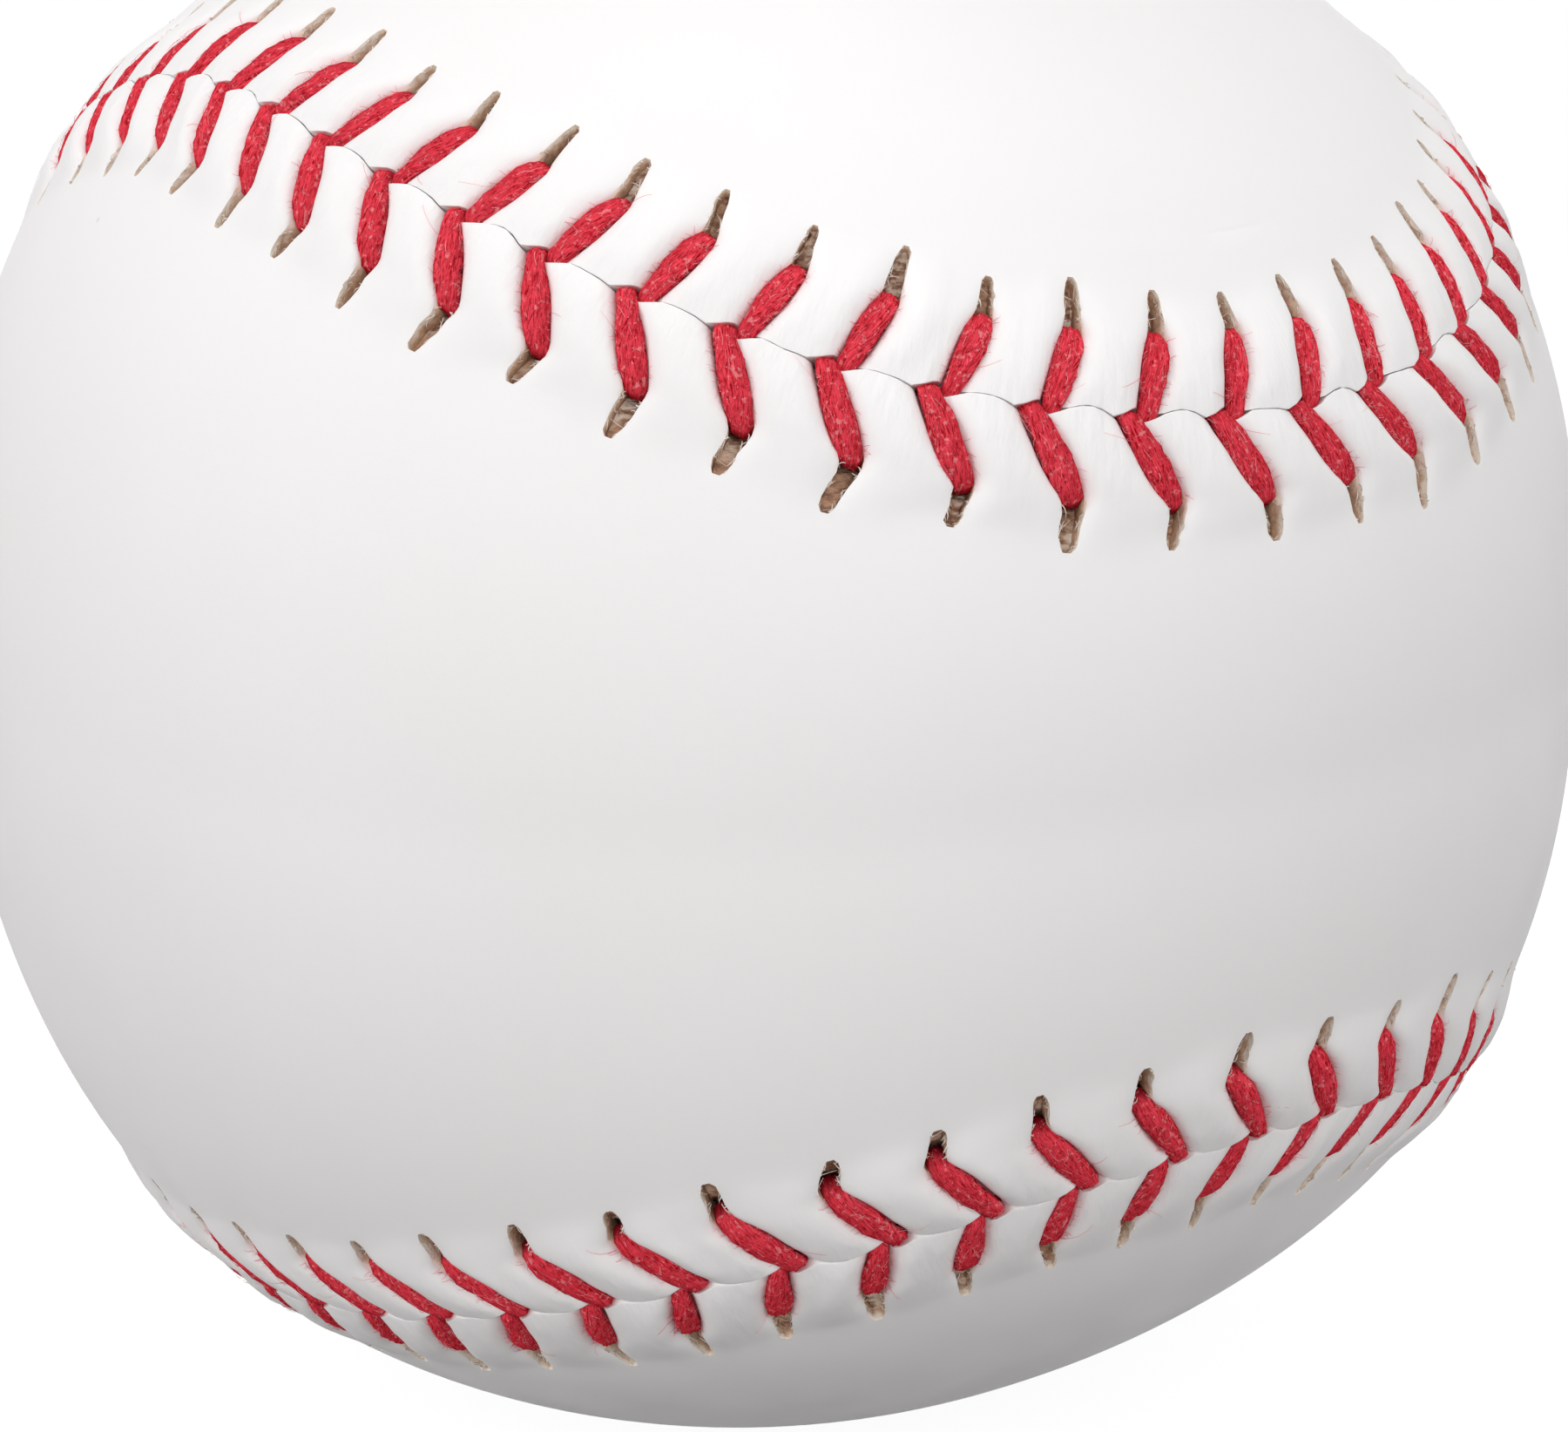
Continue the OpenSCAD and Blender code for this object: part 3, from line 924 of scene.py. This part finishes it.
def fibre_paths(side, chance, count, sideways, lengths, slant):
    """Place in stitches, off and height of each bend of count fibres on every leg."""
    shape = (STITCHES, count, 1)
    stitch = np.arange(STITCHES)[:, None, None]
    share = np.linspace(0, 1, FIBRE_BENDS)
    sign = chance.choice([-1, 1], shape)
    length = chance.uniform(*lengths, shape)
    angle = chance.uniform(-slant, slant, shape)
    sway = chance.uniform(-FIBRE_SWAY, FIBRE_SWAY, shape) * length * share * share
    start_off = chance.uniform(*(FUZZ_START if sideways else CURL_START), shape)
    if sideways:
        start_half = half_width(start_off) * leg_size(side, stitch, start_off)
        start_across = sign * (start_half - FIBRE_ROOT)
        step_across, step_off = sign * np.cos(angle), np.sin(angle)
    else:
        start_across = chance.uniform(-CURL_ACROSS, CURL_ACROSS, shape)
        step_across, step_off = np.sin(angle), sign * np.cos(angle)
    off = np.clip(start_off + step_off * length * share - step_across * sway, *FIBRE_OFFS)
    across = start_across + step_across * length * share + step_off * sway
    beyond = (across + PITCH / 2) % PITCH - PITCH / 2
    half = half_width(off) * leg_size(side, stitch, off)

    # A fibre lies on the leg's round top or on the leather, whichever is higher. The
    # leg's hidden ends don't count.
    leg_middle = np.interp(off, LEG_OFFS[-3:2:-1], LEG_HEIGHTS[-3:2:-1])
    leg_round = np.sqrt(np.clip(1 - (across / half) ** 2, 0, 1))
    leg_top = leg_middle + LEG_TOP[0] + LEG_TOP[1] * leg_round
    leather = pillow_level(off, beyond, half) + FIBRE_CLEAR
    on_leg = np.abs(across) < half - LEG_SIDE
    height = np.where(on_leg, np.maximum(leg_top, leather), leather)
    height = height + np.sin(math.pi * share) * chance.uniform(*FIBRE_ARCH, shape)
    place = FIRST_STITCH_SHARE + stitch + (leg_ahead(side, off) + across) / PITCH
    bends = np.stack(np.broadcast_arrays(place, side * off, height), axis=-1)
    return bends.reshape(-1, FIBRE_BENDS, 3)


def fibre_mesh(name, slot, out, height, thickness, chance):
    """Thin tubes through points that lie at a direction and a distance from the centre."""
    count = len(out)
    centre = out * height[..., None]
    path = unit(np.gradient(centre, axis=1))
    aside = unit(np.cross(path, out))
    above = np.cross(aside, path)
    angle = np.arange(FIBRE_SIDES) / FIBRE_SIDES * 2 * math.pi
    taper = thickness * np.linspace(*FIBRE_TAPER, FIBRE_BENDS)[None, :, None, None]
    ring = aside[:, :, None] * np.cos(angle)[:, None] + above[:, :, None] * np.sin(angle)[:, None]
    points = centre[:, :, None] + taper * ring
    one = FIBRE_BENDS * FIBRE_SIDES
    faces = repeat_faces(tube_faces(FIBRE_BENDS, FIBRE_SIDES), count, one)
    fibres = new_piece(name, points.reshape(-1, 3), faces, slot)
    set_attributes(fibres, tone=np.repeat(chance.uniform(0, 1, count), one))
    fibres.data.shade_smooth()
    return fibres


def make_fibres(name, side, seed):
    chance = np.random.default_rng(seed)
    paths = np.concatenate([fibre_paths(side, chance, *kind) for kind in FIBRE_KINDS])
    out = beside_seam(paths[..., 0], paths[..., 1])
    level = leather_level(np.abs(paths[..., 1])) + paths[..., 2]
    return fibre_mesh(name, "red_thread", out, level, FIBRE_R, chance)


thread_fibres = [make_fibres("loose_fibres_a", 1, 31), make_fibres("loose_fibres_b", -1, 32)]

# %% [markdown]
# The cut leather frays too. Pale fibres stand out from the walls of every slit, and a
# few ends of yarn cross it. They start on the edges of the margin's own net.

# %% Fibres in the slits
# Frays and yarns: how many in each slit, how far they reach over it, between which
# heights, how much they curl and the first row that has them
FRAY_KINDS = (
    (20, (0.1, 0.6), (-0.35, 0.0), 0.7, 3.3),
    (1, (1.2, 2.0), (-0.6, -0.3), 0.5, 3.65),
)
FRAY_R = 0.024
FRAY_ROOT = 1.02
FRAY_LAST_ROW = ROWS.index(FLOOR_OFFS[-1]) - 0.3
FRAY_ARCH = 0.12
FRAY_ARCH_CHANCE = (-0.4, 1)


def slit_fibre_paths(side, chance, count, reach, heights, curl, first_off):
    """Directions and levels of the bends of count fibres in every slit."""
    direction, _, _, off, _, _ = margins[side]
    shape = (STITCHES, count, 1)
    share = np.linspace(0, 1, FIBRE_BENDS)
    rows = (ROWS.index(first_off), FRAY_LAST_ROW)
    slant = chance.uniform(-1, 1, shape) * share + curl * chance.uniform(-1, 1, shape) * share ** 2
    row = np.clip(chance.uniform(*rows, shape) + slant, *rows)
    start_side = chance.choice([-1, 1], shape)
    across = start_side * (FRAY_ROOT - chance.uniform(*reach, shape) * share)
    height = chance.uniform(*heights, shape)
    arch = FRAY_ARCH * np.sin(math.pi * share)
    height = height + arch * chance.uniform(*FRAY_ARCH_CHANCE, shape)
    low = np.floor(row).astype(int)
    part = (row - low)[..., None]
    stitch = np.arange(STITCHES)[:, None, None] + 0 * low

    def at_edge(values, edge):
        """Values at the slit's left or right edge, between the two nearest rows."""
        column = COLUMNS.index(edge)
        return values[low, stitch, column] * (1 - part) + values[low + 1, stitch, column] * part

    out = at_edge(direction, -GROOVE_EDGE) * (1 - across[..., None]) / 2
    out = out + at_edge(direction, GROOVE_EDGE) * (1 + across[..., None]) / 2
    level = leather_level(at_edge(off[..., None], -GROOVE_EDGE)[..., 0]) + height
    return unit(out).reshape(-1, FIBRE_BENDS, 3), level.reshape(-1, FIBRE_BENDS)


def make_frays(name, side, seed):
    chance = np.random.default_rng(seed)
    paths = [slit_fibre_paths(side, chance, *kind) for kind in FRAY_KINDS]
    out, level = (np.concatenate(part) for part in zip(*paths))
    return fibre_mesh(name, "white_leather", out, level, FRAY_R, chance)


leather_frays = [make_frays("slit_frays_a", 1, 51), make_frays("slit_frays_b", -1, 52)]

# %% [markdown]
# ## Materials
# A few helpers keep the node trees short. Everything is procedural, and patterns read
# Object coordinates in metres, so a noise of scale 1000 has grains of a millimetre.

# %% Node helpers
BLACK = (0, 0, 0)
WHITE = (1, 1, 1)


def new_material(name):
    material = bpy.data.materials.new(name)
    material.use_nodes = True
    tree = material.node_tree
    return material, tree, tree.nodes["Principled BSDF"]


def fill(tree, node, inputs):
    """Links and values for a node's inputs. A colour is three numbers."""
    for key, value in inputs.items():
        socket = node.inputs[key]
        if isinstance(value, bpy.types.NodeSocket):
            tree.links.new(value, socket)
        else:
            socket.default_value = (*value, 1) if socket.type == "RGBA" else value
    return node


def add_node(tree, kind, inputs, **settings):
    node = tree.nodes.new(kind)
    for key, value in settings.items():
        setattr(node, key, value)
    return fill(tree, node, inputs)


def noise(tree, vector, scale, detail=4, roughness=0.5):
    return add_node(tree, "ShaderNodeTexNoise", {
        "Vector": vector, "Scale": scale, "Detail": detail, "Roughness": roughness,
    }).outputs["Fac"]


def ramp(tree, value, low, high, first=BLACK, last=WHITE):
    node = add_node(tree, "ShaderNodeValToRGB", {"Fac": value})
    for stop, place, colour in zip(node.color_ramp.elements, (low, high), (first, last)):
        stop.position = place
        stop.color = (*colour, 1)
    return node.outputs["Color"]


def mix(tree, share, first, last):
    inputs = {0: share, 6: first, 7: last}
    return add_node(tree, "ShaderNodeMix", inputs, data_type="RGBA").outputs[2]


def maths(tree, operation, *values):
    return add_node(tree, "ShaderNodeMath", dict(enumerate(values)), operation=operation).outputs[0]


def times(tree, first, last):
    return maths(tree, "MULTIPLY", first, last)


def read_attribute(tree, name, output="Fac"):
    return add_node(tree, "ShaderNodeAttribute", {}, attribute_name=name).outputs[output]


def object_place(tree):
    return add_node(tree, "ShaderNodeTexCoord", {}).outputs["Object"]


def stretched(tree, vector, scales):
    return add_node(tree, "ShaderNodeMapping", {"Vector": vector, "Scale": scales}).outputs[0]


def bump(tree, height, strength, distance):
    inputs = {"Strength": strength, "Distance": distance, "Height": height}
    return add_node(tree, "ShaderNodeBump", inputs).outputs["Normal"]


# %% [markdown]
# ### White leather
# The leather is smooth and nearly white, a little warmer here and cooler there, with a
# fine grain that only shows at a low angle. Beside the stitches it is drawn into small
# wrinkles, and a few red fibres tint it. In the grooves and on the edge over the other
# panel's legs it is painted dark red, partly the thread's dye and partly painted shade.

# %% White leather
def white_leather():
    material, tree, shader = new_material("white_leather_grain")
    spot = object_place(tree)
    cloud = ramp(tree, noise(tree, spot, 38, 2), 0.35, 0.65)
    colour = mix(tree, cloud, (0.885, 0.866, 0.862), (0.90, 0.888, 0.885))
    blush = ramp(tree, noise(tree, spot, 700, 2), 0.38, 0.68)
    blush = times(tree, times(tree, read_attribute(tree, "flank"), blush), 0.42)
    colour = mix(tree, blush, colour, (0.93, 0.52, 0.56))
    # Grooves and capped edges go dark red: partly the thread's dye, partly painted shade
    dye_and_shade_share = times(tree, read_attribute(tree, "groove"), 0.75)
    colour = mix(tree, dye_and_shade_share, colour, (0.50, 0.20, 0.20))
    specks = add_node(tree, "ShaderNodeTexVoronoi", {"Vector": spot, "Scale": 95})
    speck = ramp(tree, specks.outputs["Distance"], 0.008, 0.02, WHITE, BLACK)
    colour = mix(tree, times(tree, speck, 0.45), colour, (0.45, 0.38, 0.32))
    near = maths(tree, "DIVIDE", read_attribute(tree, "seam_off"), 6.0)
    near = ramp(tree, near, 0.12, 0.75, WHITE, BLACK)
    seam_place = read_attribute(tree, "seam_place", "Vector")
    folds = noise(tree, stretched(tree, seam_place, (2.2, 2.2, 0.7)), 1.0, 3, 0.55)
    folds = times(tree, times(tree, folds, near), 9.0)
    relief = maths(tree, "ADD", noise(tree, spot, 1500, 5, 0.6), folds)
    fill(tree, shader, {
        "Base Color": colour,
        "Roughness": ramp(tree, noise(tree, spot, 260, 3), 0.3, 0.7, (0.5,) * 3, (0.62,) * 3),
        "Specular IOR Level": 0.22,
        "Normal": bump(tree, relief, 0.25, 0.00006),
    })
    return material


# %% [markdown]
# ### Cut leather
# Where the leather is cut, its white coat ends and the tan fibre of its core shows.
# Towards the underside the cut turns darker brown, which is painted shade.

# %% Cut leather
def cut_leather():
    material, tree, shader = new_material("cut_leather_edge")
    fibres = noise(tree, object_place(tree), 2600, 4, 0.7)
    ragged = maths(tree, "MULTIPLY_ADD", fibres, 1.1, -0.55)
    depth = maths(tree, "ADD", read_attribute(tree, "depth"), ragged)
    # Painted shade: the cut goes from pale tan to dark brown towards the leather's underside
    colour = ramp(tree, depth, 0.06, 0.75, (0.94, 0.86, 0.76), (0.30, 0.16, 0.095))
    middle = colour.node.color_ramp.elements.new(0.3)
    middle.color = (0.72, 0.52, 0.37, 1)
    fill(tree, shader, {
        "Base Color": colour,
        "Roughness": 0.85,
        "Specular IOR Level": 0.2,
        "Normal": bump(tree, fibres, 0.6, 0.0001),
    })
    return material


# %% [markdown]
# ### Cement and yarn
# The floor of a slit is dried rubber cement on yarn: brown, with paler threads of the
# last winding showing through it here and there.

# %% Cement coat
def cement_on_yarn():
    material, tree, shader = new_material("cement_on_yarn")
    spot = object_place(tree)
    threads_seen = noise(tree, stretched(tree, spot, (1500, 4200, 3000)), 1.0, 3, 0.6)
    brown = ramp(tree, threads_seen, 0.35, 0.65)
    colour = mix(tree, brown, (0.20, 0.095, 0.055), (0.72, 0.46, 0.31))
    patches = ramp(tree, noise(tree, spot, 420, 2), 0.5, 0.62)
    pale = times(tree, patches, ramp(tree, threads_seen, 0.42, 0.6))
    fill(tree, shader, {
        "Base Color": mix(tree, pale, colour, (0.80, 0.72, 0.62)),
        "Roughness": 0.7,
        "Normal": bump(tree, threads_seen, 0.8, 0.00015),
    })
    return material


# %% [markdown]
# ### Red thread
# Each strand is a bundle of fine fibres, so the pattern is stretched along the strand.
# Deep in the seam and the slits the thread is painted darker, which is painted shade,
# and pale pink flecks are painted glints where fibres would catch the light.

# %% Red thread
def red_thread():
    material, tree, shader = new_material("red_waxed_thread")
    spot = object_place(tree)
    fibre = read_attribute(tree, "fibre", "Vector")
    streaks = noise(tree, stretched(tree, fibre, (3.0, 13, 1)), 1.0, 4, 0.6)
    grains = noise(tree, spot, 6500, 3, 0.6)
    relief = maths(tree, "ADD", streaks, times(tree, grains, 0.3))
    colour = mix(tree, ramp(tree, relief, 0.51, 0.69), (0.32, 0.0, 0.003), (1.0, 0.08, 0.12))
    tone = times(tree, read_attribute(tree, "tone"), 0.15)
    colour = mix(tree, tone, colour, (0.70, 0.005, 0.018))
    # Painted shade: the deeper a point lies below the leather, the darker the red
    sunk_shade = ramp(tree, read_attribute(tree, "sunk"), 0.15, 0.7)
    colour = mix(tree, times(tree, sunk_shade, 0.85), colour, (0.14, 0.002, 0.006))
    # Painted highlight: pale pink flecks stand for fibres that glint in the light
    pale = ramp(tree, noise(tree, spot, 4200, 2, 0.6), 0.59, 0.67)
    fill(tree, shader, {
        "Base Color": mix(tree, times(tree, pale, 0.6), colour, (1.0, 0.40, 0.42)),
        "Roughness": 0.7,
        "Specular IOR Level": 0.04,
        "Sheen Weight": 0.5,
        "Sheen Roughness": 0.5,
        "Sheen Tint": (1.0, 0.0, 0.015),
        "Normal": bump(tree, relief, 0.8, 0.0001),
    })
    return material


# %% [markdown]
# A single fibre is paler than the thread, because light passes through it. Leather
# fibres are tan to white.

# %% Loose fibres
def loose_fibre(name, first, last):
    material, tree, shader = new_material(name)
    tone = ramp(tree, read_attribute(tree, "tone"), 0.35, 1.0)
    fill(tree, shader, {"Base Color": mix(tree, tone, first, last), "Roughness": 0.6})
    return material


# %% [markdown]
# ### Inside the ball
# The layers inside never show on a whole ball, but someone may open it, so each has the
# finish of the real one.

# %% Inner layers
def mottled(name, first, last, scale, roughness, relief):
    material, tree, shader = new_material(name)
    grains = noise(tree, object_place(tree), scale, 5, 0.6)
    fill(tree, shader, {
        "Base Color": mix(tree, ramp(tree, grains, 0.35, 0.65), first, last),
        "Roughness": roughness,
        "Normal": bump(tree, grains, 0.5, relief * MM),
    })
    return material


def wound_yarn(name, first, last, yarn_width):
    material, tree, shader = new_material(name)
    spot = object_place(tree)
    bands = 1 / (yarn_width * MM)
    wave = add_node(tree, "ShaderNodeTexWave", {
        "Vector": spot, "Scale": bands / 20, "Distortion": 6.0, "Detail": 2.0, "Detail Scale": 1.5,
    }, bands_direction="DIAGONAL")
    fuzz = times(tree, noise(tree, spot, 1800, 3), 0.4)
    twist = maths(tree, "ADD", wave.outputs["Fac"], fuzz)
    fill(tree, shader, {
        "Base Color": mix(tree, ramp(tree, twist, 0.2, 1.0), first, last),
        "Roughness": 0.95,
        "Sheen Weight": 0.3,
        "Normal": bump(tree, twist, 0.8, yarn_width * MM / 3),
    })
    return material


cork = mottled("composition_cork", (0.42, 0.26, 0.14), (0.78, 0.6, 0.4), 420, 0.85, 0.2)
black_rubber = mottled("black_rubber_matt", (0.03,) * 3, (0.06,) * 3, 900, 0.7, 0.05)
red_rubber = mottled("red_rubber_satin", (0.48, 0.09, 0.06), (0.6, 0.13, 0.09), 700, 0.5, 0.05)
gray_wool = wound_yarn("gray_wool_yarn", (0.3, 0.29, 0.28), (0.62, 0.6, 0.57), 1.2)
white_wool = wound_yarn("white_wool_yarn", (0.66, 0.63, 0.56), (0.93, 0.91, 0.85), 1.0)
finishing = wound_yarn("finishing_yarn", (0.6, 0.53, 0.42), (0.88, 0.83, 0.74), 0.5)
cement, leather, thread_red = cement_on_yarn(), white_leather(), red_thread()
NODE_FINISHES = {
    "cork_core": cork,
    "rubber_half_shell_upper": black_rubber,
    "rubber_half_shell_lower": black_rubber,
    "sealing_washer_upper": red_rubber,
    "sealing_washer_lower": red_rubber,
    "rubber_cushion_layer": red_rubber,
    "winding_gray_four_ply": gray_wool,
    "winding_white_three_ply": white_wool,
    "winding_gray_three_ply": gray_wool,
    "winding_finishing_yarn": finishing,
    "adhesive_coat": cement,
    "cover_panel_a": leather,
    "cover_panel_b": leather,
    "stitching_thread_a": thread_red,
    "stitching_thread_b": thread_red,
}

# %% [markdown]
# A CAD node keeps its mesh and only gets a material. The pieces made above get theirs
# in the same way.

# %% Give out the materials
def dress(piece, *materials):
    """Materials for a piece, whose faces keep their material numbers."""
    numbers = np.zeros(len(piece.data.polygons), dtype=np.int32)
    piece.data.polygons.foreach_get("material_index", numbers)
    piece.data.materials.clear()
    for material in materials:
        piece.data.materials.append(material)
    piece.data.polygons.foreach_set("material_index", numbers % len(materials))


for node_name, finish in NODE_FINISHES.items():
    dress(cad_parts[node_name], finish)
red_fibre = loose_fibre("loose_red_fibre", (0.80, 0.06, 0.10), (0.95, 0.5, 0.52))
pale_fibre = loose_fibre("loose_pale_fibre", (0.72, 0.6, 0.5), (0.95, 0.92, 0.88))
for pieces, materials in (
    (panels, (leather, cut_leather())),
    (threads, (thread_red,)),
    (thread_fibres, (red_fibre,)),
    (leather_frays, (pale_fibre,)),
    ([coat, *slit_floors], (cement,)),
):
    for piece in pieces:
        dress(piece, *materials)

# %% [markdown]
# ## Floor, background and light
# The ball lies on a plain pale floor. Light comes softly from the front and above, and
# very little from below, so the ball's lower half turns grey. The camera sees the floor
# and the background as white, with the ball's own soft shadow.

# %% Floor
FLOOR_Z = -36.66
FLOOR_SIZE = 4000
FLOOR_DARK = (0.1, 0.094, 0.094)
FLOOR_SEEN = (0.3, 0.3, 0.3)
FLOOR_GLOW = 0.9
bpy.ops.object.select_all(action="DESELECT")
bpy.ops.mesh.primitive_plane_add(size=FLOOR_SIZE * MM, location=(0, 0, FLOOR_Z * MM))
floor = bpy.context.object
floor.name = "floor"
bpy.ops.object.transform_apply(location=True, rotation=True, scale=True)


def seen_directly(tree):
    """One for rays that the camera, a reflection or a clear material sends."""
    path = add_node(tree, "ShaderNodeLightPath", {}).outputs
    seen = maths(tree, "MAXIMUM", path["Is Camera Ray"], path["Is Glossy Ray"])
    return maths(tree, "MAXIMUM", seen, path["Is Transmission Ray"])


floor_material, floor_tree, floor_shader = new_material("pale_floor")
floor_seen = seen_directly(floor_tree)
fill(floor_tree, floor_shader, {
    "Base Color": mix(floor_tree, floor_seen, FLOOR_DARK, FLOOR_SEEN),
    "Roughness": 1.0,
    "Specular IOR Level": 0.0,
    "Emission Color": WHITE,
    "Emission Strength": times(floor_tree, floor_seen, FLOOR_GLOW),
})
dress(floor, floor_material)

# %% [markdown]
# Four wide area lamps do the work: one in front, one at each side and one above. The
# left one is stronger than the right one. A weak even sky fills their shadows.

# %% Light
SKY = (0.33, 0.33, 0.33)
world = bpy.data.worlds.new("studio")
bpy.context.scene.world = world
world.use_nodes = True
world_tree = world.node_tree
fill(world_tree, world_tree.nodes["Background"], {
    "Color": mix(world_tree, seen_directly(world_tree), SKY, WHITE),
    "Strength": 1.0,
})

# Azimuth and height in degrees, level and size in metres of each lamp
LAMP_DISTANCE = 0.9
LAMPS = {
    "front_lamp": (0, 0, 0.66, 0.7),
    "left_lamp": (-60, 0, 0.73, 0.7),
    "right_lamp": (60, 0, 0.48, 0.7),
    "top_lamp": (0, 88, 0.44, 0.8),
}
for lamp_name, (azimuth, height, level, size) in LAMPS.items():
    a, h = math.radians(azimuth), math.radians(height)
    spot = Vector((math.sin(a) * math.cos(h), -math.cos(a) * math.cos(h), math.sin(h)))
    light = bpy.data.lights.new(lamp_name, "AREA")
    light.shape = "DISK"
    light.size = size
    # A white surface that faces a lamp of power P is P / (pi * distance) ** 2 bright
    light.energy = level * math.pi * math.pi * LAMP_DISTANCE ** 2
    lamp = bpy.data.objects.new(lamp_name, light)
    lamp.location = spot * LAMP_DISTANCE
    lamp.rotation_euler = spot.to_track_quat("Z", "Y").to_euler()
    bpy.context.scene.collection.objects.link(lamp)
